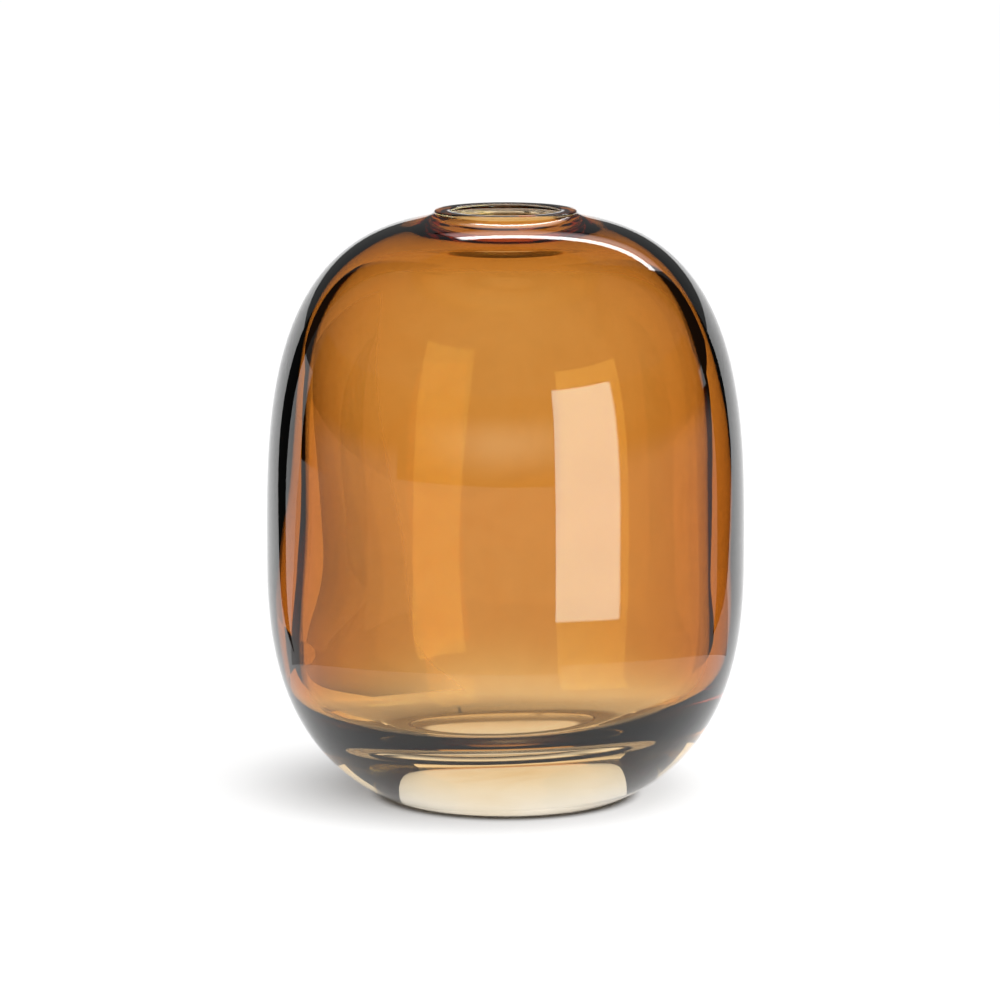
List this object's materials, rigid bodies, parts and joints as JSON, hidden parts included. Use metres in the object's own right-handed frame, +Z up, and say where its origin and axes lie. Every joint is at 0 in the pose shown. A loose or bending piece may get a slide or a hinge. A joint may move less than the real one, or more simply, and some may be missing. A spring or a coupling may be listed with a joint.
{
  "type": "barrel bud vase",
  "caption": "Barrel bud vase of cased glass: rounded body, narrow mouth in a low hollow-sided collar, amber lining, thick clear base on a recessed bearing ring.",
  "frame": {"origin": "centre of the bearing ring, on the surface that the vase stands on", "axes": "+Z up along the vase's own axis, out of its mouth; +X and +Y are interchangeable, because the vase is turned about Z"},
  "size_m": [0.0972, 0.0972, 0.12],
  "materials": {
    "clear_glass": "polished",
    "amber_glass": "polished"
  },
  "bodies": {
    "root": {"clear_casing": "clear_glass", "amber_lining": "amber_glass"}
  },
  "joints": []
}
